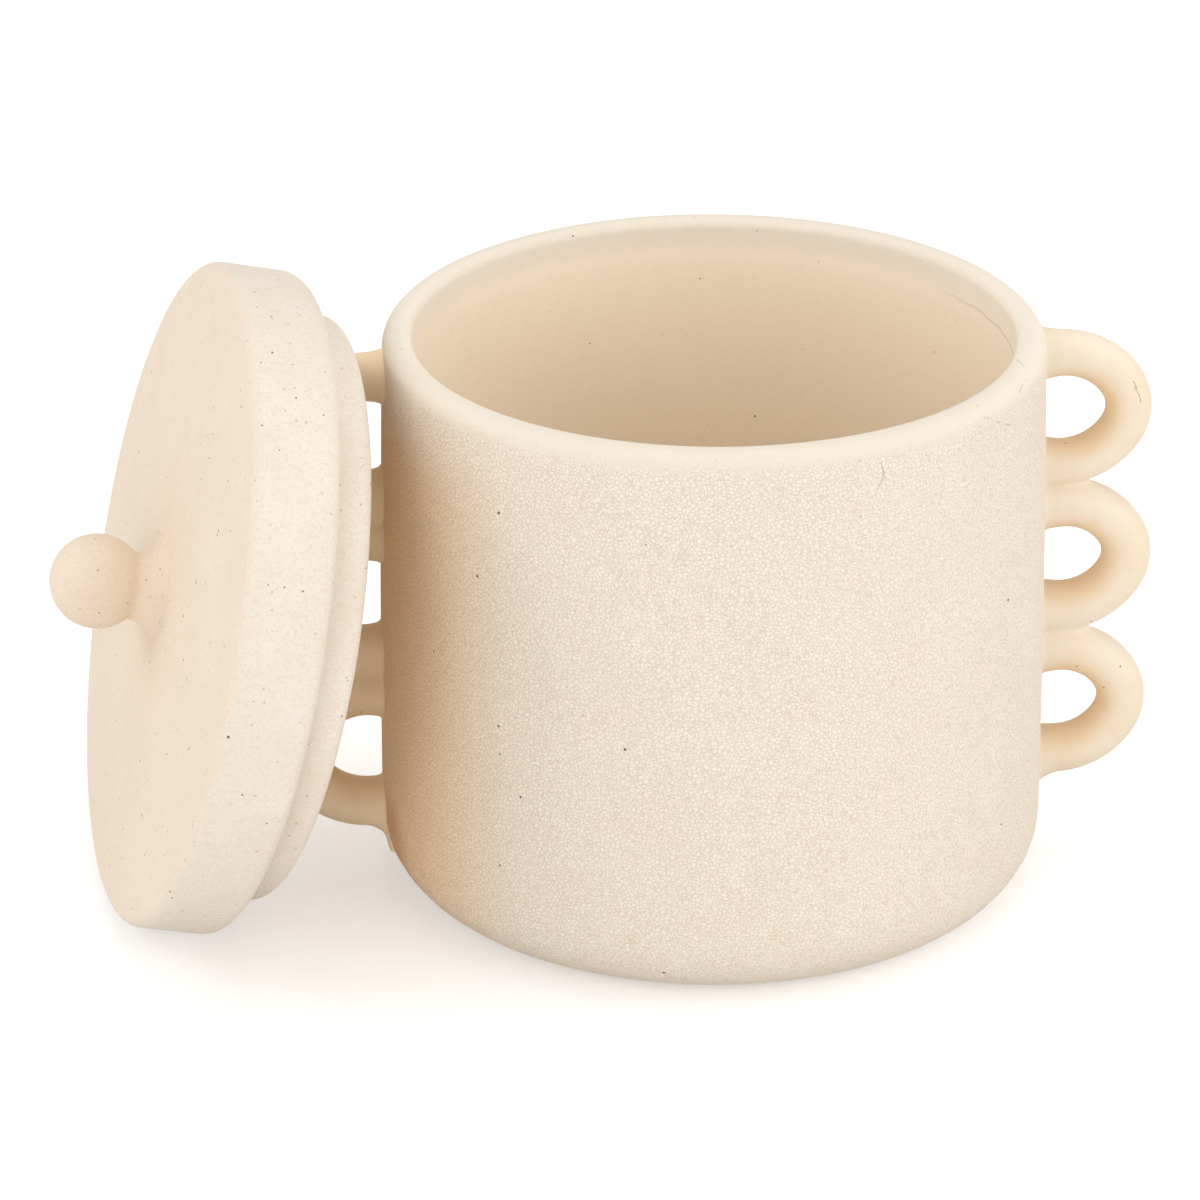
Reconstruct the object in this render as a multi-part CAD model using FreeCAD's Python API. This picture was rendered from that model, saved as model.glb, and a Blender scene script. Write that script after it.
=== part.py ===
import FreeCAD, Part
import math
import os

from FreeCAD import Vector

os.makedirs("parts", exist_ok=True)

# A stoneware jar with coil loops for handles. Its lid is off and leans on the left handle.
# The origin is the centre of the jar's flat base, +Z is up, and the handles stand along X.
# All lengths are in millimetres and all angles in degrees.

# Jar
jar_height = 152.0
rim_radius = 85.0
base_radius = 86.7
base_corner = 18.6
wall = 7.7
floor_thickness = 9.0
inner_corner = 13.0
ledge_depth = 7.0
ledge_step = 0.7
outer_lip_share = 0.6

# Handles: three coil loops, one above the other, on each side
handle_reach = 30.0
handle_drop = 4.5
left_pitch = 44.0
right_pitch = 41.4
coil_radius = 6.3
seam_press = 0.5
root_flare = 1.6
tip_bend_share = 0.8
sweep_turn = 58.0
loop_names = ("upper", "middle", "lower")

# Lid
lid_overhang = 1.0
lid_thickness = 23.0
lid_edge = 3.0
lid_heel = 4.5
lid_crown = 3.0
hollow_depth = 4.5
hollow_corner = 3.0
flange_depth = 10.5
flange_wall = 5.5
flange_play = 0.6
flange_outer_share = 0.65
flange_inner_share = 0.25

# Knob
knob_radius = 12.25
knob_stand = 15.3
neck_radius = 8.6
neck_foot = 3.9

# How the lid leans
lean_tip = 13.14
lean_turn = 7.7
lean_aside = 8.4
lean_gap = 0.3

# A cutting tool runs this far past what it cuts
overrun = 1.0

up = Vector(0, 0, 1)
origin = Vector(0, 0, 0)


class Outline:
    """A closed outline in the XZ plane, drawn from point to point and spun about the Z axis."""

    def __init__(self, x, z):
        self.start = self.here = Vector(x, 0, z)
        self.edges = []

    def line(self, x, z):
        there = Vector(x, 0, z)
        self.edges.append(Part.LineSegment(self.here, there).toShape())
        self.here = there
        return self

    def arc(self, centre_x, centre_z, x, z):
        """The shorter arc to a point at the same distance from the centre."""
        there = Vector(x, 0, z)
        centre = Vector(centre_x, 0, centre_z)
        bisector = (self.here - centre) + (there - centre)
        bisector.normalize()
        middle = centre + bisector * (there - centre).Length
        self.edges.append(Part.Arc(self.here, middle, there).toShape())
        self.here = there
        return self

    def spin(self):
        self.line(self.start.x, self.start.z)
        return Part.Face(Part.Wire(self.edges)).revolve(origin, up, 360)


# Jar
outer_lip = outer_lip_share * wall
inner_lip = wall - outer_lip
mouth_radius = rim_radius - wall
throat_radius = mouth_radius - ledge_step
inner_base_radius = base_radius - wall - ledge_step


def jar_outside():
    """The jar's outline from the centre of its base up to the crest of its lip."""
    outline = Outline(0, 0).line(base_radius - base_corner, 0)
    outline.arc(base_radius - base_corner, base_corner, base_radius, base_corner)
    outline.line(rim_radius, jar_height - outer_lip)
    outline.arc(rim_radius - outer_lip, jar_height - outer_lip, rim_radius - outer_lip, jar_height)
    return outline


def make_jar():
    ledge_top = jar_height - ledge_depth
    corner_x = inner_base_radius - inner_corner
    corner_z = floor_thickness + inner_corner
    outline = jar_outside()
    outline.arc(mouth_radius + inner_lip, jar_height - inner_lip, mouth_radius, jar_height - inner_lip)
    outline.line(mouth_radius, ledge_top)
    outline.line(throat_radius, ledge_top - ledge_step)
    outline.line(inner_base_radius, corner_z)
    outline.arc(corner_x, corner_z, corner_x, floor_thickness)
    outline.line(0, floor_thickness)
    return outline.spin()


def make_jar_block():
    """The jar as if it were solid, which trims what is pressed onto its wall."""
    return jar_outside().line(0, jar_height).spin()


# Handles. A loop leaves the wall along a straight leg, sweeps round in a wide bend, turns
# more tightly at its tip, and comes back the same way.
handle_tip = rim_radius + handle_reach
leg_inset = coil_radius - seam_press
sweep_cos = math.cos(math.radians(sweep_turn))
sweep_sin = math.sin(math.radians(sweep_turn))
tip_turn = 90 - sweep_turn


def leg_rise(pitch):
    """How far a leg's middle stands above the middle of its loop."""
    return pitch / 2 - leg_inset


def tip_bend(pitch):
    """The tight bend's radius, to the middle of the coil."""
    return tip_bend_share * leg_rise(pitch)


def sweep_bend(pitch):
    """The wide bend's radius, which lets it run smoothly from the leg into the tight bend."""
    return (leg_rise(pitch) - tip_bend(pitch) * sweep_cos) / (1 - sweep_cos)


def tip_centre_x(pitch):
    return handle_tip - coil_radius - tip_bend(pitch)


def leg_end(pitch):
    return tip_centre_x(pitch) - (sweep_bend(pitch) - tip_bend(pitch)) * sweep_sin


def loop_middle(pitch, index):
    """The height of a loop's middle, counted down from the top loop."""
    return jar_height - handle_drop - seam_press - pitch * (index + 0.5)


def make_leg(side, height, pitch):
    """A straight leg that thickens toward the wall and starts inside it."""
    root = rim_radius - wall / 2
    foot = Vector(side * root, 0, height)
    return Part.makeCone(
        coil_radius + root_flare, coil_radius, leg_end(pitch) - root, foot, Vector(side, 0, 0))


def make_bend(centre, start, along, turn):
    """Round coil from a start in the XZ plane, swung about a centre by a turn in degrees."""
    section = Part.Face(Part.Wire(Part.makeCircle(coil_radius, start, along)))
    return section.revolve(centre, (start - centre).cross(along), turn)


def make_half(side, away, pitch, middle):
    """One leg with its wide bend and its half of the tip, above or below the loop's middle."""
    outward = Vector(side, 0, 0)
    height = middle + away.z * leg_rise(pitch)
    sweep_start = Vector(side * leg_end(pitch), 0, height)
    sweep = make_bend(sweep_start - away * sweep_bend(pitch), sweep_start, outward, sweep_turn)
    tip_centre = Vector(side * tip_centre_x(pitch), 0, middle)
    tip_start = tip_centre + (away * sweep_cos + outward * sweep_sin) * tip_bend(pitch)
    tip = make_bend(tip_centre, tip_start, outward * sweep_cos - away * sweep_sin, tip_turn)
    return [make_leg(side, height, pitch), sweep, tip]


def make_loop(side, pitch, index, jar_block):
    """One loop, flattened where it lies on the loops beside it and trimmed to the jar's wall."""
    middle = loop_middle(pitch, index)
    coils = make_half(side, up, pitch, middle) + make_half(side, -up, pitch, middle)
    loop = coils[0].fuse(coils[1:])
    free = 2 * coil_radius
    top = middle + pitch / 2 + (free if index == 0 else 0)
    bottom = middle - pitch / 2 - (free if index == len(loop_names) - 1 else 0)
    corner = Vector(-handle_tip - overrun, -free, bottom)
    slab = Part.makeBox(2 * (handle_tip + overrun), 2 * free, top - bottom, corner)
    return loop.common(slab).cut(jar_block).Solids[0]


# Lid, made lying flat with the plane that rests on the jar's rim at height zero
lid_radius = rim_radius + lid_overhang
flange_radius = throat_radius - flange_play
hollow_radius = flange_radius - flange_wall
pad_radius = neck_radius + neck_foot


def make_lid_disc():
    crown_z = lid_thickness + lid_crown
    edge_x = lid_radius - lid_edge
    outline = Outline(0, hollow_depth).line(hollow_radius - hollow_corner, hollow_depth)
    outline.arc(
        hollow_radius - hollow_corner, hollow_depth - hollow_corner,
        hollow_radius, hollow_depth - hollow_corner)
    outline.line(hollow_radius, 0)
    outline.line(lid_radius - lid_heel, 0)
    outline.arc(lid_radius - lid_heel, lid_heel, lid_radius, lid_heel)
    outline.line(lid_radius, lid_thickness - lid_edge)
    outline.arc(edge_x, lid_thickness - lid_edge, edge_x, lid_thickness)
    outline.line(pad_radius, crown_z)
    outline.line(0, crown_z)
    return outline.spin()


def make_lid_flange():
    outer = flange_outer_share * flange_wall
    inner = flange_inner_share * flange_wall
    outline = Outline(hollow_radius, 0).line(hollow_radius, inner - flange_depth)
    outline.arc(hollow_radius + inner, inner - flange_depth, hollow_radius + inner, -flange_depth)
    outline.line(flange_radius - outer, -flange_depth)
    outline.arc(flange_radius - outer, outer - flange_depth, flange_radius, outer - flange_depth)
    outline.line(flange_radius, 0)
    return outline.spin()


def make_knob():
    """A ball on a neck that flares into a foot, standing on the flat pad of the crown."""
    pad_z = lid_thickness + lid_crown
    ball_z = pad_z + knob_stand
    crease_z = ball_z - math.sqrt(knob_radius ** 2 - neck_radius ** 2)
    sweep = ((crease_z - pad_z) ** 2 + neck_foot ** 2) / (2 * neck_foot)
    outline = Outline(0, pad_z).line(pad_radius, pad_z)
    outline.arc(neck_radius + sweep, crease_z, neck_radius, crease_z)
    outline.arc(0, ball_z, 0, ball_z + knob_radius)
    return outline.spin()


# The lid stands on its rounded heel, tipped toward the jar, so that the hollow of its
# underside takes in the tip of the left handle's top loop and rests on it.
tip_cos = math.cos(math.radians(lean_tip))
tip_sin = math.sin(math.radians(lean_tip))
turn_cos = math.cos(math.radians(lean_turn))
turn_sin = math.sin(math.radians(lean_turn))
lid_axis = Vector(-turn_cos * tip_cos, -turn_sin * tip_cos, tip_sin)
lid_height = (lid_radius - lid_heel) * tip_cos + lid_heel * (1 - tip_sin)


def lean_distance(depth):
    """How far out the lid stands when the plane at this depth of its underside rests on the top loop."""
    across = turn_cos * tip_cos
    touch = tip_centre_x(left_pitch) * across + loop_middle(left_pitch, 0) * tip_sin
    touch += tip_bend(left_pitch) * math.hypot(across, tip_sin) + coil_radius + lean_gap
    return (touch - depth - lean_aside * turn_sin * tip_cos - lid_height * tip_sin) / across


def lean(shape, distance):
    leaning = shape.copy()
    leaning.Placement = FreeCAD.Placement(
        Vector(-distance, -lean_aside, lid_height), FreeCAD.Rotation(up, lid_axis))
    return leaning


nodes = {"pot_body": make_jar()}
jar_block = make_jar_block()
for row, name in enumerate(loop_names):
    nodes["left_" + name + "_loop"] = make_loop(-1, left_pitch, row, jar_block)
    nodes["right_" + name + "_loop"] = make_loop(1, right_pitch, row, jar_block)

# If the ring would run into the top loop, the lid stands back until the ring's end rests on it.
ring = make_lid_flange()
distance = lean_distance(hollow_depth)
if lean(ring, distance).distToShape(nodes["left_upper_loop"])[0] < lean_gap:
    distance = lean_distance(-flange_depth)
nodes["lid_disc"] = lean(make_lid_disc(), distance)
nodes["lid_flange"] = lean(ring, distance)
nodes["lid_knob"] = lean(make_knob(), distance)

print("lid stands", round(distance, 2), "out, its centre", round(lid_height, 2), "up")
for name, shape in nodes.items():
    box = shape.BoundBox
    corners = [round(v, 2) for v in (box.XMin, box.YMin, box.ZMin, box.XMax, box.YMax, box.ZMax)]
    print(name, shape.ShapeType, shape.isValid(), round(shape.Volume), corners)
    shape.exportStep("parts/" + name + ".step")
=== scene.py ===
# %% [markdown]
# # A stoneware jar with looped handles, and its lid leaning beside it
# The jar is thrown on a wheel, the handles are rolled coils of clay, and the lid is a thick turned disc with
# a ball for a grip. The solids already fix every size and every place. This lesson dresses them: each part
# is made again with the softness of real clay, and then gets a slip that is built from nodes alone.

import math

import bmesh
import bpy
from mathutils import Matrix, Vector


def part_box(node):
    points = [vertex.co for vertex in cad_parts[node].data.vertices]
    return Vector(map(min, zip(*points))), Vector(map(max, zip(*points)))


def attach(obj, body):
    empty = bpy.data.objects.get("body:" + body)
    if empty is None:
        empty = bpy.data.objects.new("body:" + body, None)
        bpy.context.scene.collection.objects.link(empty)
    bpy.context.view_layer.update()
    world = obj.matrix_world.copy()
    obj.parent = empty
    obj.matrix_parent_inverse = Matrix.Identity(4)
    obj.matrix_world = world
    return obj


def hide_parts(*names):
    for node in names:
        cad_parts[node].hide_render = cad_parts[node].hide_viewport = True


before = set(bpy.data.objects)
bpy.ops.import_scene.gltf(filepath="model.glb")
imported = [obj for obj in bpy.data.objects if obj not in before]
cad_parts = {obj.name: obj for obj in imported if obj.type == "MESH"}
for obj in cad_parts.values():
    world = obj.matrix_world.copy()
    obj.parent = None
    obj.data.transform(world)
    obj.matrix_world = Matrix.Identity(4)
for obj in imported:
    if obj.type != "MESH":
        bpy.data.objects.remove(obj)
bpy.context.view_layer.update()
print("solids loaded:", len(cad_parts))

# %% [markdown]
# ## Sizes
# Everything is in metres, so a millimetre gets a name of its own. Where a size can be read from the solids
# it is read from them. The few others are those that a potter would note down: the wall, the lip, the coil.

# %% Sizes of the jar
mm = 0.001
jar_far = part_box("pot_body")[1]
jar_height = jar_far.z
base_radius = jar_far.x
rim_radius = base_radius - 1.7 * mm
base_rounding = 18.6 * mm
wall = 7.7 * mm
outer_lip = 4.6 * mm
inner_lip = 3.1 * mm
floor_thickness = 9 * mm
floor_rounding = 13 * mm
ledge_depth = 7 * mm
ledge_step = 0.7 * mm
ledge_ease = 4 * mm
belly = 0.57 * mm
mouth_radius = rim_radius - wall
throat_radius = mouth_radius - ledge_step
inner_base_radius = base_radius - wall - ledge_step
print("jar height and base radius in mm:", round(jar_height / mm, 1), round(base_radius / mm, 1))

# %% [markdown]
# ## Helpers for work in edit mode
# An operator acts on all that is selected, so each helper first clears the selection and then picks what it
# needs by place. That is the same thing a person does with a box select, only written down.

# %% Helpers
def clear_selection():
    if bpy.context.mode != "OBJECT":
        bpy.ops.object.mode_set(mode="OBJECT")
    bpy.ops.object.select_all(action="DESELECT")


def select_only(*pieces):
    clear_selection()
    for piece in pieces:
        piece.select_set(True)
    bpy.context.view_layer.objects.active = pieces[0]


def pick(piece, kind, test):
    """In edit mode, selects just the vertices or the edges of a piece whose middle passes the test."""
    bpy.ops.mesh.select_mode(type=kind)
    bpy.ops.mesh.select_all(action="DESELECT")
    mesh = bmesh.from_edit_mesh(piece.data)
    for part in mesh.verts if kind == "VERT" else mesh.edges:
        corners = [part] if kind == "VERT" else part.verts
        middle = sum((corner.co for corner in corners), Vector()) / len(corners)
        if test(middle):
            part.select = True
    mesh.select_flush_mode()
    bmesh.update_edit_mesh(piece.data)


def apply_modifiers(piece):
    select_only(piece)
    for modifier in list(piece.modifiers):
        bpy.ops.object.modifier_apply(modifier=modifier.name)


# %% [markdown]
# ## Turned forms
# A thrown jar and a turned lid are both made by one outline going round a centre. The outline could be a
# curve with a screw modifier. Here it is a chain of vertices, extruded from corner to corner, because each
# corner can then be rounded by its own amount with a vertex bevel before the spin carries it round.

# %% Turned forms
around = 256
same_place = 0.001 * mm
weld = 0.002 * mm


def start_outline(name, place):
    """One vertex at a place, in edit mode: a small plane whose corners are merged into one."""
    clear_selection()
    bpy.ops.mesh.primitive_plane_add(size=mm, location=(0, 0, 0))
    piece = bpy.context.object
    piece.name = piece.data.name = name
    bpy.ops.object.mode_set(mode="EDIT")
    bpy.ops.mesh.select_all(action="SELECT")
    bpy.ops.mesh.merge(type="CENTER")
    bpy.ops.transform.translate(value=place)
    return piece


def round_corner(piece, corner, before, after, rounding, segments=8):
    """Bevels one vertex of the outline so that it follows an arc of that radius."""
    turn = (corner - before).angle(after - corner)
    pick(piece, "VERT", lambda place: (place - corner).length < same_place)
    bpy.ops.mesh.bevel(
        affect="VERTICES", offset_type="OFFSET", offset=rounding * math.tan(turn / 2), segments=segments,
        clamp_overlap=False)


def divide_long_edges(piece, longest):
    """Cuts the outline's long straight stretches, so that they can swell and waver later."""
    edges = bmesh.from_edit_mesh(piece.data).edges
    stretches = [((edge.verts[0].co + edge.verts[1].co) / 2, edge.calc_length()) for edge in edges]
    for middle, length in stretches:
        if length > longest:
            pick(piece, "EDGE", lambda place: (place - middle).length < same_place)
            bpy.ops.mesh.subdivide(number_cuts=int(length / longest))


def turned(name, corners, longest=4 * mm):
    """Spins an outline about Z. Each corner is a radius, a height and how far it is rounded."""
    points = [Vector((radius, 0, height)) for radius, height, _ in corners]
    piece = start_outline(name, points[0])
    for before, after in zip(points, points[1:]):
        bpy.ops.mesh.extrude_vertices_move(TRANSFORM_OT_translate={"value": after - before})
    for index in range(1, len(points) - 1):
        rounding = corners[index][2]
        if rounding:
            round_corner(piece, points[index], points[index - 1], points[index + 1], rounding)
    divide_long_edges(piece, longest)
    bpy.ops.mesh.select_mode(type="VERT")
    bpy.ops.mesh.select_all(action="SELECT")
    bpy.ops.mesh.spin(steps=around, angle=2 * math.pi, center=(0, 0, 0), axis=(0, 0, 1))
    bpy.ops.mesh.select_all(action="SELECT")
    bpy.ops.mesh.remove_doubles(threshold=weld)
    bpy.ops.mesh.normals_make_consistent(inside=False)
    bpy.ops.object.mode_set(mode="OBJECT")
    bpy.ops.object.shade_smooth()
    print(name, "faces:", len(piece.data.polygons))
    return piece


# %% [markdown]
# ## The waver of hand work
# Clay that was shaped by hand is never a perfect circle. A displace modifier with a cloud texture gives a
# slow waver of a tenth of a millimetre or two. It is too small to change the outline, and it is what breaks
# up a highlight so that the surface stops looking like plastic.

# %% Waver
def add_waver(piece, size, height):
    cloud = bpy.data.textures.new(piece.name + "_waver", "CLOUDS")
    cloud.noise_scale = size
    cloud.noise_depth = 1
    displace = piece.modifiers.new("waver", "DISPLACE")
    displace.texture = cloud
    displace.texture_coords = "LOCAL"
    displace.mid_level = 0.5
    displace.strength = height
    apply_modifiers(piece)


def swell(piece, fade=30 * mm):
    """The thrown wall swells a little at half height. What is fixed to it goes with it, and less far out."""
    for vertex in piece.data.vertices:
        height = min(max(vertex.co.z / jar_height, 0), 1)
        outward = Vector((vertex.co.x, vertex.co.y, 0))
        if outward.length > throat_radius / 2:
            share = min(max(1 - (outward.length - base_radius) / fade, 0), 1)
            vertex.co += outward.normalized() * belly * share * math.sin(math.pi * height)


# %% [markdown]
# ## The jar
# One outline gives the whole jar: under the base, up the wall, over the lip, past the ledge that stops the
# lid, and down to the floor inside. The lip is rounded more outside than inside, as a wet sponge leaves it.

# %% The jar
jar = turned("jar", [
    (0, 0, 0),
    (base_radius, 0, base_rounding),
    (rim_radius, jar_height, outer_lip),
    (mouth_radius, jar_height, inner_lip),
    (mouth_radius, jar_height - ledge_depth + ledge_ease, 4 * ledge_ease),
    (throat_radius, jar_height - ledge_depth - ledge_ease, 4 * ledge_ease),
    (inner_base_radius, floor_thickness, floor_rounding),
    (0, floor_thickness, 0),
])
swell(jar)
add_waver(jar, 40 * mm, 0.16 * mm)

# %% [markdown]
# ## The handles
# Each handle is three loops of a rolled coil, one above the other, pressed to the wall and to each other.
# A curve with a round bevel would give the coils, but not the smeared joints between them. So each loop is
# a circle that is drawn out, spun round a wide bend, a tight one and a wide one again, and drawn back. A
# thin pad is added just under the wall's surface, and a voxel remesh melts the loops and the pad into one
# skin. A short smoothing then leaves the small hollows of a wet finger where one coil meets the next.
#
# The three loops were rolled and bent one by one, so no two are the same: each has its own small change of
# reach and of thickness beside the even loops of the solids.

# %% Sizes of the handles
coil_radius = 6.3 * mm
coil_melt = 0.1 * mm
root_flare = 1.5 * mm
smear = 3 * mm
seam_press = 0.5 * mm
tip_bend_share = 0.8
sweep_turn = math.radians(58)
coil_sides = 32
bend_steps = 10
pad_depth = 0.3 * mm
pad_thickness = 2.2 * mm
pad_half_width = 12 * mm
voxel = 0.75 * mm
loop_names = ("upper", "middle", "lower")
reach_changes = {"left": (-0.3 * mm, 0.1 * mm, 0.2 * mm), "right": (-0.9 * mm, 0.2 * mm, 0.1 * mm)}
coil_changes = {"left": (-0.1 * mm, 0.1 * mm, 0.15 * mm), "right": (-0.35 * mm, 0.15 * mm, 0.05 * mm)}
print("coil radius and voxel in mm:", round(coil_radius / mm, 2), round(voxel / mm, 2))


def wall_radius(height):
    """The radius of the jar's wall at a height, before it swells."""
    return rim_radius + (base_radius - rim_radius) * (1 - height / jar_height)


# %% One loop of coil
def extend_leg(side, length, radius, new_radius, pivot):
    """Draws the coil's open end out along X and changes its radius about a pivot's height."""
    grow = new_radius / radius
    bpy.ops.mesh.extrude_region_move(TRANSFORM_OT_translate={"value": (side * length, 0, 0)})
    bpy.ops.transform.resize(value=(1, grow, grow), center_override=(0, 0, pivot))


def spin_end(side, turn, centre_x, centre_z):
    """Swings the coil's open end round a centre beside it, away from the upper leg."""
    bpy.ops.mesh.spin(
        steps=bend_steps, angle=turn, center=(side * centre_x, 0, centre_z), axis=(0, -side, 0))


def make_loop(name, side, middle, rise, tip, coil, low_flare, low_pivot):
    """Out along the upper leg, round the bends, and back to the wall along the lower leg."""
    thin = coil + coil_melt
    thick = thin + root_flare
    tip_bend = tip_bend_share * rise
    sweep_bend = (rise - tip_bend * math.cos(sweep_turn)) / (1 - math.cos(sweep_turn))
    tip_x = tip - coil - tip_bend
    leg_x = tip_x - (sweep_bend - tip_bend) * math.sin(sweep_turn)
    root_x = rim_radius - pad_thickness
    leg = leg_x - root_x
    upper, lower = middle + rise, middle - rise
    clear_selection()
    bpy.ops.mesh.primitive_circle_add(
        vertices=coil_sides, radius=thick, location=(side * root_x, 0, upper), rotation=(0, math.pi / 2, 0))
    loop = bpy.context.object
    loop.name = loop.data.name = name
    bpy.ops.object.transform_apply(location=True, rotation=True, scale=True)
    bpy.ops.object.mode_set(mode="EDIT")
    bpy.ops.mesh.select_all(action="SELECT")
    extend_leg(side, leg * 0.6, thick, thin + root_flare / 4, upper)
    extend_leg(side, leg * 0.4, thin + root_flare / 4, thin, upper)
    spin_end(side, sweep_turn, leg_x, upper - sweep_bend)
    spin_end(side, math.pi - 2 * sweep_turn, tip_x, middle)
    spin_end(side, sweep_turn, leg_x, lower + sweep_bend)
    extend_leg(-side, leg * 0.4, thin, thin + low_flare / 4, lower + low_pivot)
    extend_leg(-side, leg * 0.6, thin + low_flare / 4, thin + low_flare, lower + low_pivot)
    bpy.ops.mesh.select_all(action="SELECT")
    bpy.ops.mesh.remove_doubles(threshold=weld)
    bpy.ops.mesh.fill_holes(sides=0)
    bpy.ops.mesh.normals_make_consistent(inside=False)
    bpy.ops.object.mode_set(mode="OBJECT")
    return loop


# %% The pad under the wall that the coils melt into
def make_pad(name, side, top, bottom):
    """A slice of the wall, set a little under its surface: a cone that is cut to a narrow slab."""
    clear_selection()
    bpy.ops.mesh.primitive_cone_add(
        vertices=around, radius1=wall_radius(bottom) - pad_depth, radius2=wall_radius(top) - pad_depth,
        depth=top - bottom, location=(0, 0, (top + bottom) / 2))
    pad = bpy.context.object
    pad.name = pad.data.name = name
    bpy.ops.object.transform_apply(location=True, rotation=True, scale=True)
    bpy.ops.object.mode_set(mode="EDIT")
    back = side * (wall_radius(top) - pad_depth - pad_thickness)
    cuts = (
        ((back, 0, 0), (-side, 0, 0)),
        ((0, pad_half_width, 0), (0, 1, 0)),
        ((0, -pad_half_width, 0), (0, -1, 0)))
    for place, normal in cuts:
        bpy.ops.mesh.select_all(action="SELECT")
        bpy.ops.mesh.bisect(plane_co=place, plane_no=normal, use_fill=True, clear_outer=True)
    bpy.ops.mesh.select_all(action="SELECT")
    bpy.ops.mesh.normals_make_consistent(inside=False)
    bpy.ops.object.mode_set(mode="OBJECT")
    return pad


# %% A whole handle
def make_handle(word, side):
    low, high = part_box(word + "_middle_loop")
    pitch = high.z - low.z
    centre = (high.z + low.z) / 2
    tip = max(abs(low.x), abs(high.x))
    loops = []
    for step, name in enumerate(loop_names):
        coil = coil_radius + coil_changes[word][step]
        rise = pitch / 2 + seam_press - coil
        lowest = name == "lower"
        loops.append(make_loop(
            word + "_" + name, side, centre + pitch * (1 - step), rise, tip + reach_changes[word][step], coil,
            smear if lowest else root_flare, coil if lowest else 0))
    reach = 1.5 * pitch + 4 * mm
    pad = make_pad(word + "_pad", side, min(centre + reach, jar_height - 6 * mm), centre - reach)
    select_only(*loops, pad)
    bpy.ops.object.join()
    handle = bpy.context.object
    handle.name = handle.data.name = word + "_handle"
    remesh = handle.modifiers.new("melt", "REMESH")
    remesh.mode = "VOXEL"
    remesh.voxel_size = voxel
    remesh.use_smooth_shade = True
    soften = handle.modifiers.new("soften", "SMOOTH")
    soften.factor = 0.5
    soften.iterations = 10
    apply_modifiers(handle)
    swell(handle)
    add_waver(handle, 22 * mm, 0.25 * mm)
    bpy.ops.object.shade_smooth()
    print(handle.name, "faces:", len(handle.data.polygons))
    return handle


left_handle = make_handle("left", -1)
right_handle = make_handle("right", 1)

# %% [markdown]
# ## The lid
# The lid lies flat while it is made, as it would on the wheel, and is then stood up and leaned by one
# matrix that is applied to its mesh. Its outline starts at the middle of the hollow underneath, goes round
# the ring that drops into the jar, out over the thick side, and in across the slightly raised face.

# %% Sizes of the lid
lid_radius = rim_radius + 1 * mm
lid_thickness = 23 * mm
lid_edge = 3.4 * mm
lid_heel = 4.5 * mm
lid_crown = 3 * mm
hollow_depth = 4.5 * mm
flange_depth = 10.5 * mm
flange_radius = throat_radius - 0.6 * mm
hollow_radius = flange_radius - 5.5 * mm
neck_radius = 8.6 * mm
neck_foot = 3.9 * mm
pad_radius = neck_radius + neck_foot
knob_radius = 12.25 * mm
knob_stand = 15.3 * mm
knob_lift = 0.9 * mm
skirt = 1.2 * mm
crown_top = lid_thickness + lid_crown

# %% Where the lid leans
lean_tip = math.radians(13.14)
lean_turn = math.radians(7.7)
lean_aside = 8.4 * mm
across = math.cos(lean_tip)
lid_axis = Vector((-math.cos(lean_turn) * across, -math.sin(lean_turn) * across, math.sin(lean_tip)))
lid_height = (lid_radius - lid_heel) * across + lid_heel * (1 - math.sin(lean_tip))
ball_height = crown_top + knob_stand
lid_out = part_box("lid_knob")[0].x + knob_radius - ball_height * lid_axis.x
lid_place = Vector((lid_out, -lean_aside, lid_height))
lean = Matrix.Translation(lid_place) @ Vector((0, 0, 1)).rotation_difference(lid_axis).to_matrix().to_4x4()
print("lid stands out by", round(-lid_out / mm, 2), "mm")


def lean_over(piece):
    piece.data.transform(lean)
    piece.data.update()


# %% The turned disc and its ring
lid = turned("lid_turned", [
    (0, hollow_depth, 0),
    (hollow_radius, hollow_depth, 3 * mm),
    (hollow_radius, -flange_depth, 1.4 * mm),
    (flange_radius, -flange_depth, 3.4 * mm),
    (flange_radius, 0, 0.8 * mm),
    (lid_radius, 0, lid_heel),
    (lid_radius, lid_thickness, lid_edge),
    (pad_radius, crown_top - 0.2 * mm, 8 * mm),
    (0, crown_top, 0),
])
add_waver(lid, 30 * mm, 0.16 * mm)

# %% [markdown]
# ## The ball grip
# The grip is a ball on a short neck that flares into a foot. A sphere joined to a cone would show a seam, so
# the whole grip is one more outline, whose points are worked out along two arcs: the neck's hollow sweep and
# the ball. It was pressed on by hand and sits a little above the lid's middle.

# %% The ball grip
crease = ball_height - math.sqrt(knob_radius ** 2 - neck_radius ** 2)
flare = ((crease - crown_top) ** 2 + neck_foot ** 2) / (2 * neck_foot)
flare_turn = math.asin(min((crease - crown_top) / flare, 1))
flare_steps = 10
ball_steps = 20
knob_outline = [
    (0, crown_top - 2 * mm, 0),
    (pad_radius + skirt, crown_top - 2 * mm, 0),
    (pad_radius + skirt, crown_top - 0.5 * mm, 0),
    (pad_radius + skirt / 3, crown_top + 0.1 * mm, 0),
]
for step in range(flare_steps + 1):
    angle = flare_turn * (1 - step / flare_steps)
    knob_outline.append((neck_radius + flare * (1 - math.cos(angle)), crease - flare * math.sin(angle), 0))
crease_turn = math.asin(neck_radius / knob_radius)
for step in range(1, ball_steps + 1):
    angle = (math.pi - crease_turn) * (1 - step / ball_steps)
    knob_outline.append((knob_radius * math.sin(angle), ball_height + knob_radius * math.cos(angle), 0))
knob = turned("lid_ball_grip", knob_outline)
soften = knob.modifiers.new("soften", "SMOOTH")
soften.factor = 0.5
soften.iterations = 3
apply_modifiers(knob)
add_waver(knob, 16 * mm, 0.25 * mm)
for piece in (lid, knob):
    lean_over(piece)
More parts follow.
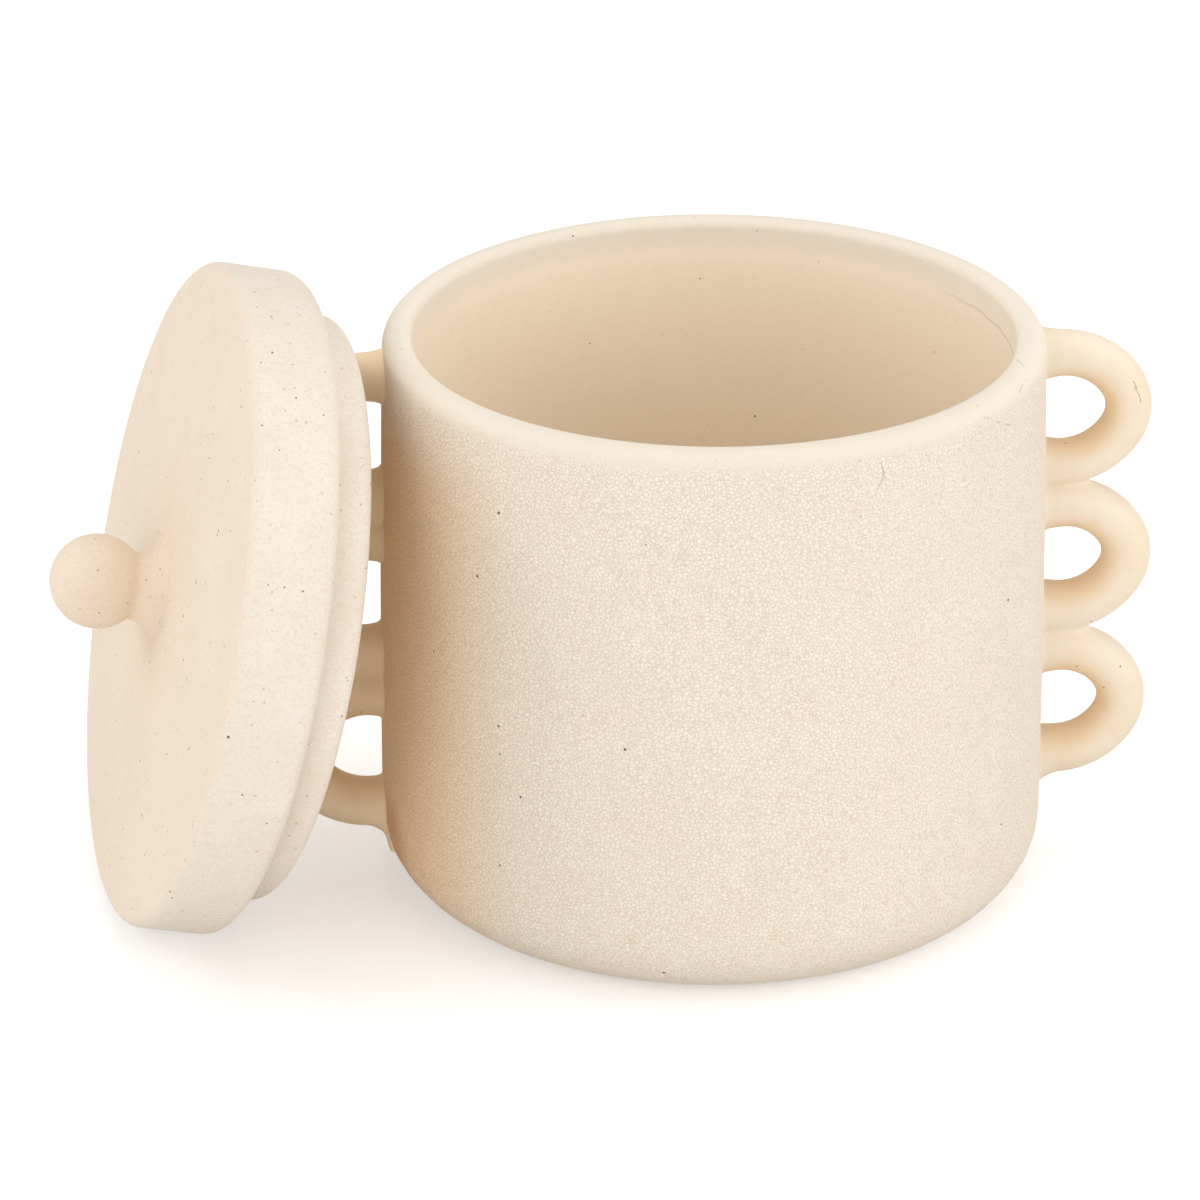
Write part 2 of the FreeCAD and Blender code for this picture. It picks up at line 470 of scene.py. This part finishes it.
face_up = (Vector((0, 0, 1)) - lid_axis * lid_axis.z).normalized()
knob.data.transform(Matrix.Translation(face_up * knob_lift))
print("the grip sits", round(knob_lift / mm, 2), "mm above the lid's middle")

# %% [markdown]
# ## Finishes
# The finishes share one recipe, a matt cream slip over a warm clay, and differ in what lies on top. A node
# graph is hard to read as a list of links, so the sums are written as sums: a small class wraps a socket,
# and adding or multiplying two of them adds the Math node that does it.

# %% A socket that can be added and multiplied
class Amount:
    """A value that changes over a surface."""

    def __init__(self, finish, socket):
        self.finish = finish
        self.socket = socket

    def math(self, operation, first, second=0.0, third=0.0):
        settings = {"operation": operation}
        return self.finish.node("ShaderNodeMath", settings, {0: first, 1: second, 2: third})

    def __add__(self, other):
        return self.math("ADD", self, other)

    def __sub__(self, other):
        return self.math("SUBTRACT", self, other)

    def __rsub__(self, other):
        return self.math("SUBTRACT", other, self)

    def __mul__(self, other):
        return self.math("MULTIPLY", self, other)

    def __truediv__(self, other):
        return self.math("DIVIDE", self, other)

    def __rtruediv__(self, other):
        return self.math("DIVIDE", other, self)

    def __pow__(self, power):
        return self.math("POWER", self, power)

    def __abs__(self):
        return self.math("ABSOLUTE", self)

    __radd__ = __add__
    __rmul__ = __mul__

    def wrap(self, half):
        """What is left of a value when whole steps of twice the half are taken off."""
        return self.math("WRAP", self, half, -half)

    def over(self, start, end):
        """0 before start, 1 past end, and a soft step between them."""
        if end < start:
            return 1 - self.over(end, start)
        settings = {"interpolation_type": "SMOOTHSTEP"}
        sockets = {"Value": self, "From Min": start, "From Max": end}
        return self.finish.node("ShaderNodeMapRange", settings, sockets)


# %% The start of every finish
class Material:
    """A material with a principled shader, and the one way to add nodes to it."""

    def __init__(self, name):
        self.material = bpy.data.materials.new(name)
        self.material.use_nodes = True
        self.tree = self.material.node_tree
        self.shader = self.tree.nodes["Principled BSDF"]
        self.shader.inputs["Specular IOR Level"].default_value = 0.35
        self.place = self.node("ShaderNodeTexCoord", output="Object")

    def node(self, kind, settings=None, sockets=None, output=0):
        """Adds a node: its settings first, then the values or links of its sockets."""
        node = self.tree.nodes.new(kind)
        for name, value in (settings or {}).items():
            setattr(node, name, value)
        for name, value in (sockets or {}).items():
            self.feed(node.inputs[name], value)
        return Amount(self, node.outputs[output])

    def feed(self, socket, value):
        if isinstance(value, Amount):
            self.tree.links.new(value.socket, socket)
        elif socket.type == "RGBA":
            socket.default_value = (*value, 1)
        else:
            socket.default_value = value

    def parts(self, kind, sockets):
        """The three parts that a separating node gives."""
        split = self.node(kind, None, sockets).socket.node
        return [Amount(self, split.outputs[index]) for index in range(3)]

    def axes(self):
        """The three coordinates of a place as separate values."""
        return self.parts("ShaderNodeSeparateXYZ", {"Vector": self.place})

    def vector(self, operation, first, second=None, output=0):
        sockets = {0: first} if second is None else {0: first, 1: second}
        return self.node("ShaderNodeVectorMath", {"operation": operation}, sockets, output=output)


# %% [markdown]
# ## Patterns
# A finish needs only a few patterns: a place that wanders, the distance from a line, noise, cells, and one
# colour laid over another. The last method links a colour, a roughness and a height to the shader.

# %% Patterns
class Finish(Material):
    """A material with the patterns that the slips are made of."""

    def wander(self, size, far):
        """The place, moved up to about half that far by a noise of that size."""
        sockets = {"Vector": self.place, "Scale": 1 / size, "Detail": 2.0}
        drift = self.node("ShaderNodeTexNoise", None, sockets, output="Color")
        centred = self.vector("SUBTRACT", drift, (0.5, 0.5, 0.5))
        sockets = {0: centred, 1: (far, far, far), 2: self.place}
        return self.node("ShaderNodeVectorMath", {"operation": "MULTIPLY_ADD"}, sockets)

    def from_line(self, place, start, end):
        """How far a place lies from the straight line between two points."""
        along = end - start
        from_start = self.vector("SUBTRACT", place, start)
        reach = self.vector("DOT_PRODUCT", from_start, along.normalized(), output="Value")
        reach = self.node("ShaderNodeClamp", None, {"Value": reach, "Min": 0.0, "Max": along.length})
        sockets = {0: along.normalized(), "Scale": reach}
        foot = self.node("ShaderNodeVectorMath", {"operation": "SCALE"}, sockets)
        return self.vector("DISTANCE", from_start, foot, output="Value")

    def noise(self, size, detail=2.0, place=None):
        sockets = {"Vector": place or self.place, "Scale": 1 / size, "Detail": detail}
        return self.node("ShaderNodeTexNoise", None, sockets, output="Fac")

    def cells(self, size, feature="F1", output="Distance", place=None):
        settings = {"feature": feature}
        sockets = {"Vector": place or self.place, "Scale": 1 / size}
        return self.node("ShaderNodeTexVoronoi", settings, sockets, output=output)

    def mix(self, amount, below, above):
        """One colour laid over another where the amount is 1. Sockets 6 and 7 are the two colours."""
        settings = {"data_type": "RGBA"}
        sockets = {0: amount, 6: below, 7: above}
        return self.node("ShaderNodeMix", settings, sockets, output=2)

    def done(self, colour, roughness, height):
        """Links the colour, the roughness and a height in metres to the shader."""
        self.feed(self.shader.inputs["Base Color"], colour)
        self.feed(self.shader.inputs["Roughness"], roughness)
        sockets = {"Height": height, "Distance": 1.0, "Strength": 1.0}
        self.feed(self.shader.inputs["Normal"], self.node("ShaderNodeBump", None, sockets))
        print(self.material.name, "nodes:", len(self.tree.nodes))
        return self.material


def srgb(red, green, blue):
    """A colour as a paint chart gives it, 0 to 255, turned into the light that a shader works with."""
    def light(value):
        value /= 255
        return value / 12.92 if value <= 0.04045 else ((value + 0.055) / 1.055) ** 2.4
    return light(red), light(green), light(blue)


# %% [markdown]
# ## The paint chart
# All the colours of the slips stand here together, because they only make sense beside each other. The
# clay is the same throughout. The slip is palest on the wall and creamier on the coils. Some colours here
# are painted light and shade: the lip's two creams, the tan of the left flank, the left coils' creams,
# the ochre in the loops, the line along the ledge and the colour of the lid's face.

# %% The paint chart
jar_cream = srgb(244, 233, 218)
jar_pale_cream = srgb(245, 235, 220)
jar_blush = srgb(247, 231, 217)
# Painted light and shade: the lip's cream is darker to the front and back and paler toward the handles.
lip_shaded_cream = srgb(232, 222, 207)
lip_lit_cream = srgb(241, 231, 216)
inside_cream = srgb(247, 233, 213)
# Painted shade: the warm tan of the left flank, which stands in the lid's shade.
painted_shade_tan = srgb(252, 219, 180)
crack_shade = srgb(190, 168, 144)
grain_shade = srgb(204, 178, 152)
hair_grey = srgb(150, 142, 136)
# Painted shade: the dark line along the ledge inside the mouth.
ledge_shade_brown = srgb(150, 116, 86)
stain_orange = srgb(206, 146, 104)
rust_orange = srgb(232, 190, 142)
iron_dark = srgb(70, 56, 46)
iron_pale = srgb(170, 138, 112)
coil_creams_with_painted_light = {
    # Painted light: the left coils, in the lid's shade, are paler and warmer than the right ones.
    "left": (srgb(251, 227, 189), srgb(253, 231, 197)),
    "right": (srgb(238, 221, 196), srgb(240, 226, 206)),
}
streak_cream = srgb(233, 206, 173)
# Painted shade: the deeper ochre in the hollows of the loops.
painted_shade_ochre = srgb(234, 200, 155)
scratch_brown = srgb(140, 112, 82)
coil_dot_brown = srgb(110, 84, 66)
lid_cream = srgb(232, 222, 208)
lid_pale_cream = srgb(235, 226, 213)
# Painted shade: the lid's face, a little darker and warmer than its side.
lid_face_painted_shade = srgb(238, 206, 168)
lid_blush = srgb(230, 200, 164)
brushed_shade = srgb(220, 194, 163)
mottle_shade = srgb(224, 203, 180)
dot_dark = srgb(78, 62, 54)
dot_brown = srgb(96, 74, 60)
fleck_brown = srgb(176, 134, 96)

# %% [markdown]
# ## Specks
# Iron in the clay burns to tiny dark dots. A Voronoi texture scatters one point to each cell, and the cell's
# own random colour decides whether that cell has a dot at all and how dark it is, so that they never line up.

# %% Specks
def specks(finish, spacing, radius, share):
    """Dots of about that radius. Only that share of the cells has one."""
    near = finish.cells(spacing)
    chance, lot, _ = finish.parts("ShaderNodeSeparateColor", {"Color": finish.cells(spacing, output="Color")})
    size = radius * (0.5 + lot) / spacing
    dot = 1 - (near / size).over(0.6, 1.1)
    return dot * chance.over(1 - share, 1 - share * 0.98)


# %% [markdown]
# ## Marks with a place of their own
# Not every mark is spread at random. A few hairline cracks and scratches sit at one spot, and a stain is a
# soft ball of colour round one point. Each is drawn from where it lies on the part, and the wandering place
# from a noise keeps a line from looking ruled.

# %% Marks
def hairline(finish, place, points, width):
    """A fine line from point to point, 1 on the line and 0 beside it."""
    mark = 0.0
    for start, end in zip(points, points[1:]):
        near = finish.from_line(place, start, end).over(width, 0.4 * width)
        mark = near.math("MAXIMUM", near, mark)
    return mark


def stain(finish, place, point, inner, outer):
    """A soft ball of colour round a point, 1 nearer than the inner distance and 0 past the outer one."""
    return finish.vector("DISTANCE", place, point, output="Value").over(outer, inner)


# %% Where the marks lie, in millimetres
def places(*points):
    return [Vector(point) * mm for point in points]


rim_hairs = (
    places((73.8, -29.1, 152), (75.4, -36.0, 151.5), (74.6, -42.0, 149.5)),
    places((72.2, -44.9, 149.0), (74.4, -39.4, 150.8), (76.8, -36.4, 147.0)),
    places((54.4, -57.4, 151.6), (61.3, -58.9, 148.6), (69.2, -49.5, 142.5)),
    places((33.0, -78.6, 146.0), (33.4, -78.4, 142.0), (32.0, -79.2, 139.0)),
)
scratch = places((108.2, 0, 134.9), (109.9, 0, 131.2), (110.5, 0, 129.0))
root_stain = places((-85, -15, 17))[0]
print("hairlines near the rim:", len(rim_hairs))

# %% [markdown]
# ## The jar's crackled slip
# The wall carries a matt slip that shrank as it dried and broke into cells of about a millimetre. The cell
# edges are a Voronoi distance to edge, bent by noise so that they wander like cracks. They are drawn
# faintly, and only outside: the lip that the sponge smoothed and the inside are smooth, so masks made from
# radius and height end them. The lip is painted paler toward the handles and darker to the front and back,
# a painted light and shade. Toward the left handle, where the lid shades the wall, it is painted a warmer
# tan: a painted shade with the warm light that bounces between lid and wall.

# %% Marks on the jar
def mark_jar(finish, colour, inside, outside, edge_waver):
    """Specks, hairlines, a painted shade line along the ledge inside the mouth, a stain and rusty spots, laid
    over the slip.
    """
    x, _, z = finish.axes()
    dots = specks(finish, 5 * mm, 0.32 * mm, 0.11)
    colour = finish.mix(dots, colour, iron_dark)
    pale_dots = specks(finish, 4 * mm, 0.36 * mm, 0.2)
    colour = finish.mix(pale_dots * 0.3, colour, iron_pale)
    drift = finish.wander(2.5 * mm, 1.4 * mm)
    for points in rim_hairs:
        hair = hairline(finish, drift, points, 0.34 * mm)
        colour = finish.mix(hair * 0.4, colour, hair_grey)
    # Painted shade: a dark line along the ledge inside the mouth, on the right side only.
    rise = abs(z - jar_height + ledge_depth + 1.5 * mm + 0.3 * edge_waver)
    crease = rise.over(0.45 * mm, 0.1 * mm) * inside * x.over(0.72 * rim_radius, 0.9 * rim_radius)
    near_rim = z.over(jar_height - 12 * mm, jar_height - 8 * mm)
    colour = finish.mix(crease * 0.35 * near_rim, colour, ledge_shade_brown)
    bloom = stain(finish, drift, root_stain, 3 * mm, 17 * mm) * outside
    colour = finish.mix(bloom * 0.5, colour, stain_orange)
    rust = specks(finish, 7 * mm, 1.6 * mm, 0.18) * z.over(34 * mm, 12 * mm) * outside
    return finish.mix(rust * 0.3, colour, rust_orange)


# %% The jar's finish
crack_cell = 1.0 * mm
grain_size = 0.45 * mm


def jar_finish():
    finish = Finish("jar_crackled_slip")
    x, y, z = finish.axes()
    radius = (x * x + y * y) ** 0.5
    patch = finish.noise(22 * mm, detail=3.0)
    elsewhere = finish.vector("ADD", finish.place, (0.31, 0.17, 0.23))
    blush = finish.noise(13 * mm, place=elsewhere)
    edge_waver = (finish.noise(11 * mm) - 0.5) * (8 * mm)
    below_lip = (z + 0.4 * edge_waver).over(jar_height - 1.5 * mm, jar_height - 7 * mm)
    outside = radius.over(rim_radius - 5 * mm, rim_radius - 2 * mm)
    textured = below_lip * outside
    inside = radius.over(mouth_radius + 3 * mm, mouth_radius + 1 * mm)
    deep = (z + 0.3 * edge_waver).over(jar_height - 4 * mm, jar_height - 11 * mm) * inside
    below_rim = z.over(jar_height, jar_height - 30 * mm)
    # Painted shade: the left flank is painted a warm tan for the lid's shade and the warm light bounced
    # between lid and wall.
    painted_shade_flank = (0 - x).over(0.62 * rim_radius, 1.02 * rim_radius) * outside * below_rim
    bent = finish.wander(1.5 * mm, 1.3 * mm)
    crack = finish.cells(crack_cell, feature="DISTANCE_TO_EDGE", place=bent)
    line = crack.over(0.12, 0.02) * textured
    grain = finish.noise(grain_size)
    cream = finish.mix(patch.over(0.3, 0.7), jar_cream, jar_pale_cream)
    cream = finish.mix(blush.over(0.45, 0.7) * 0.2, cream, jar_blush)
    # Painted light and shade: the lip is painted darker to the front and back and paler toward the handles.
    painted_light_aside = abs(y).over(0.95 * rim_radius, 0.1 * rim_radius)
    lip_painted_light = finish.mix(painted_light_aside, lip_shaded_cream, lip_lit_cream)
    lip = finish.mix(deep, lip_painted_light, inside_cream)
    colour = finish.mix(textured, lip, cream)
    colour = finish.mix(painted_shade_flank, colour, painted_shade_tan)
    colour = finish.mix(line * 0.33, colour, crack_shade)
    colour = finish.mix(grain.over(0.48, 0.7) * (0.7 + 0.3 * textured) * 0.18, colour, grain_shade)
    colour = mark_jar(finish, colour, inside, outside, edge_waver)
    height = (0.07 * mm) * grain * (0.3 + 0.7 * textured) - (0.08 * mm) * line + (0.10 * mm) * patch
    return finish.done(colour, 0.78 + 0.1 * textured, height)


# %% [markdown]
# ## The handles' slip
# The coils were dipped more thickly, so they are smooth and a warmer cream. The left ones stand in the
# lid's shade and are painted paler and warmer, a painted light. The inner side of each loop is painted a
# deeper ochre, a painted shade where less light reaches. Which side is the inner one follows from how far a
# point lies from the middle of its own loop, and wrapping the height at every pitch measures from the middle
# of whichever loop that is.

# %% The handles' finish
def handle_finish(word, side):
    finish = Finish(word + "_handle_slip")
    low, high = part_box(word + "_middle_loop")
    pitch = high.z - low.z
    x, y, z = finish.axes()
    from_middle = abs((z - (high.z + low.z) / 2).wrap(pitch / 2))
    from_hole = side * x - (rim_radius + 8 * mm)
    inward = (from_middle * from_middle + from_hole * from_hole) ** 0.5
    uneven = 0.35 + 0.65 * finish.noise(9 * mm)
    # Painted shade: a deeper ochre in the hollow of each loop, where less light reaches.
    inner = inward.over(pitch / 2 - 6 * mm, pitch / 2 - 12 * mm) * uneven
    # The left coils, in the lid's shade, get half the ochre, so that they are painted lighter.
    depth = 1.0 if side > 0 else 0.5
    patch = finish.noise(18 * mm)
    streak = finish.noise(5 * mm, detail=3.0)
    # The left pair of creams is painted paler and warmer: painted light in the lid's shade.
    cream = finish.mix(patch.over(0.35, 0.65), *coil_creams_with_painted_light[word])
    colour = finish.mix(streak.over(0.5, 0.75) * 0.25, cream, streak_cream)
    colour = finish.mix(inner * depth, colour, painted_shade_ochre)
    if side > 0:
        flat = finish.vector("MULTIPLY", finish.wander(2 * mm, 1.6 * mm), (1, 0, 1))
        mark = hairline(finish, flat, scratch, 0.22 * mm) * y.over(0, -2 * mm)
        colour = finish.mix(mark * 0.6, colour, scratch_brown)
    dots = specks(finish, 4 * mm, 0.3 * mm, 0.12)
    colour = finish.mix(dots * 0.8, colour, coil_dot_brown)
    height = (0.12 * mm) * patch + (0.015 * mm) * finish.noise(0.6 * mm)
    return finish.done(colour, 0.6 + 0.1 * streak, height)


# %% [markdown]
# ## The lid's slip
# The lid is smooth and speckled: many tiny dark dots and some paler brown flecks, over a faint brushed
# grain. Its face is painted a little darker and warmer than its side, a painted shade, and the slip is
# warmer still round the grip.

# %% The lid's finish
def lid_finish():
    finish = Finish("lid_speckled_slip")
    patch = finish.noise(24 * mm, detail=3.0)
    stretched = finish.vector("MULTIPLY", finish.place, (0.25, 1.0, 1.0))
    brushed = finish.noise(0.9 * mm, place=stretched)
    mottle = finish.noise(0.75 * mm, detail=3.0)
    cream = finish.mix(patch.over(0.35, 0.68), lid_cream, lid_pale_cream)
    colour = finish.mix(brushed.over(0.45, 0.7) * 0.16, cream, brushed_shade)
    colour = finish.mix(mottle.over(0.48, 0.66) * 0.42, colour, mottle_shade)
    along = finish.vector("DOT_PRODUCT", finish.place, lid_axis, output="Value")
    above = along - lid_place.dot(lid_axis)
    # Painted shade: the face is painted darker and warmer than the side.
    face = above.over(lid_thickness - 2 * mm, lid_thickness)
    colour = finish.mix(face * 0.2, colour, lid_face_painted_shade)
    blush = stain(finish, finish.place, lid_place + lid_axis * crown_top, 10 * mm, 50 * mm)
    colour = finish.mix(blush * 0.17, colour, lid_blush)
    front = finish.axes()[1].over(30 * mm, -50 * mm)
    dots = specks(finish, 3.0 * mm, 0.3 * mm, 0.2) * front
    colour = finish.mix(dots * 0.9, colour, dot_dark)
    few_dots = specks(finish, 4.2 * mm, 0.29 * mm, 0.26)
    colour = finish.mix(few_dots * 0.8, colour, dot_brown)
    flecks = specks(finish, 2.6 * mm, 0.34 * mm, 0.3)
    colour = finish.mix(flecks * 0.45, colour, fleck_brown)
    height = (0.04 * mm) * brushed + (0.04 * mm) * mottle + (0.1 * mm) * patch
    return finish.done(colour, 0.68 + 0.1 * patch, height)


# %% [markdown]
# ## Dressing the part
# Each new piece now gets its finish, the body that it moves with, and the solids that it stands for. The
# lid's disc and ring are one turned piece here, and a handle's three loops are one skin, as once fired.

# %% Give each piece its finish and its body
def dress(piece, material, body, slot, *nodes):
    piece.data.materials.clear()
    piece.data.materials.append(material)
    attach(piece, body)
    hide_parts(*nodes)
    print(piece.name, "stands for", ", ".join(nodes))


lid_slip = lid_finish()
dress(jar, jar_finish(), "jar", "jar_stoneware", "pot_body")
for handle, word, side in ((left_handle, "left", -1), (right_handle, "right", 1)):
    loops = [word + "_" + name + "_loop" for name in loop_names]
    dress(handle, handle_finish(word, side), "jar", "handle_stoneware", *loops)
dress(lid, lid_slip, "lid", "lid_stoneware", "lid_disc", "lid_flange")
dress(knob, lid_slip, "lid", "lid_stoneware", "lid_knob")

# %% [markdown]
# ## The floor
# The floor is a plain pale sheet. Its material adds a little white where the camera sees it, straight on or
# in a reflection. That keeps the picture's ground white and the shadow on it soft, and sends no extra light
# back up to the clay.

# %% The floor
floor_size = 8
paper_white = (0.78, 0.775, 0.77)
paper_glow = 0.4
clear_selection()
bpy.ops.mesh.primitive_plane_add(size=floor_size, location=(0, 0, 0))
ground = bpy.context.object
ground.name = "floor"


def paper_finish():
    finish = Finish("white_paper")
    finish.shader.inputs["Roughness"].default_value = 1.0
    finish.shader.inputs["Specular IOR Level"].default_value = 0.0
    finish.shader.inputs["Base Color"].default_value = (*paper_white, 1)
    rays = finish.node("ShaderNodeLightPath").socket.node.outputs
    seen = Amount(finish, rays["Is Camera Ray"])
    for name in ("Is Glossy Ray", "Is Transmission Ray"):
        seen = seen + Amount(finish, rays[name])
    glow = finish.node("ShaderNodeEmission", None, {"Strength": seen * paper_glow})
    lit = Amount(finish, finish.shader.outputs[0])
    both = finish.node("ShaderNodeAddShader", None, {0: lit, 1: glow})
    finish.feed(finish.tree.nodes["Material Output"].inputs["Surface"], both)
    return finish.material


ground.data.materials.append(paper_finish())

# %% [markdown]
# ## Light
# A pale matt pot needs even light, or its front goes white while its sides go grey. Most of it comes from
# the bright room round it. Two large lamps low in front shape the wall, one on each side reaches the lip and
# the handles, and one above looks into the jar.

# %% Light
room_colour = (1, 0.99, 0.975)
room_light = 0.65
lamp_size = 1.0
lamp_colour = (1, 0.985, 0.965)
lamp_aim = Vector((0, 0, 80 * mm))
world = bpy.data.worlds.new("studio")
bpy.context.scene.world = world
world.use_nodes = True
sky = world.node_tree.nodes["Background"]
sky.inputs["Color"].default_value = (*room_colour, 1)
sky.inputs["Strength"].default_value = room_light


def add_softbox(name, place, power):
    lamp = bpy.data.lights.new(name, "AREA")
    lamp.shape = "SQUARE"
    lamp.size = lamp_size
    lamp.energy = power
    lamp.color = lamp_colour
    softbox = bpy.data.objects.new(name, lamp)
    softbox.location = place
    facing = lamp_aim - Vector(place)
    softbox.rotation_euler = facing.to_track_quat("-Z", "Y").to_euler()
    bpy.context.scene.collection.objects.link(softbox)
    print(name, "lamp:", power, "W")


add_softbox("key", (1.15, -1.2, 0.62), 5.8)
add_softbox("fill", (-0.8, -1.55, 0.45), 8.2)
add_softbox("left side", (-1.5, 0.2, 0.8), 5.5)
add_softbox("right side", (1.7, -0.1, 0.8), 5.7)
add_softbox("top", (0.1, 0.2, 1.6), 5.2)

# %% [markdown]
# ## Camera
# It stands well back with a long lens and looks down at the jar from the front left, about 24 degrees above
# the floor. Its place and its turn were worked out from the ellipses of the rim and the base and from the
# outlines of the lid and the handles.

# %% Camera
photo_width = 1200
lens_in_pixels = 6140.056
eye = Vector((-160.5, -1453.7, 731.67)) * mm
camera_pitch = 0.422
camera_heading = -0.09
camera = bpy.data.cameras.new("camera")
camera.sensor_width = 36
camera.lens = lens_in_pixels / photo_width * camera.sensor_width
camera.dof.use_dof = False
viewer = bpy.data.objects.new("camera", camera)
viewer.location = eye
viewer.rotation_euler = (math.pi / 2 - camera_pitch, 0, camera_heading)
bpy.context.scene.collection.objects.link(viewer)
bpy.context.scene.camera = viewer
bpy.context.scene.view_settings.view_transform = "Standard"
print("lens in mm:", round(camera.lens, 1))
